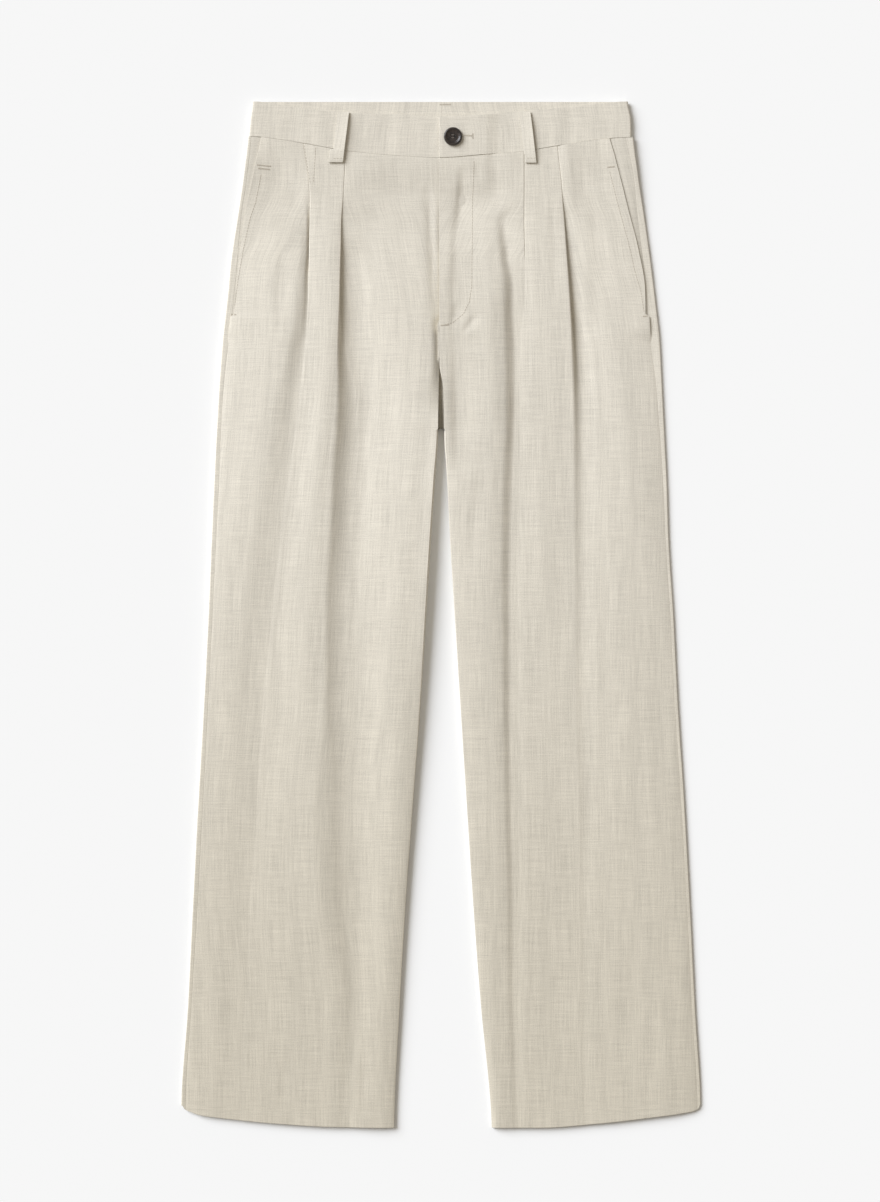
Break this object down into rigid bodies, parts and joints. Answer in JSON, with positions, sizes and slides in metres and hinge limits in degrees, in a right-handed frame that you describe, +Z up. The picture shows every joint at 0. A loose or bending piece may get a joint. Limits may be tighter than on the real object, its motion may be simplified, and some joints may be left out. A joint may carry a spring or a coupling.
{
  "type": "pleated trousers",
  "caption": "Straight-leg pleated trousers of pale linen-like cloth, laid flat, front up: buttoned waistband with belt loops, fly, slanted pocket mouths, pleats opening into soft leg creases.",
  "frame": {"origin": "centre of the bounding box on the surface that the garment lies on", "axes": "+Y towards the waist, +Z up out of the surface through the front, +X towards the wearer's left leg"},
  "size_m": [0.5456, 1.0778, 0.0129],
  "materials": {
    "cloth": "matte plain weave with slubs",
    "facing_cloth": "matte plain weave with slubs",
    "button": "dark horn look, satin"
  },
  "bodies": {
    "root": {"front_right": "cloth", "front_left": "cloth", "back_right": "cloth", "back_left": "cloth", "waistband_right": "cloth", "waistband_left": "cloth", "pocket_facing_right": "facing_cloth", "pocket_facing_left": "facing_cloth", "fly_shield": "cloth", "loop_front_right": "cloth", "loop_front_left": "cloth", "loop_back_right": "cloth", "loop_back_centre": "cloth", "loop_back_left": "cloth", "button": "button"}
  },
  "joints": []
}
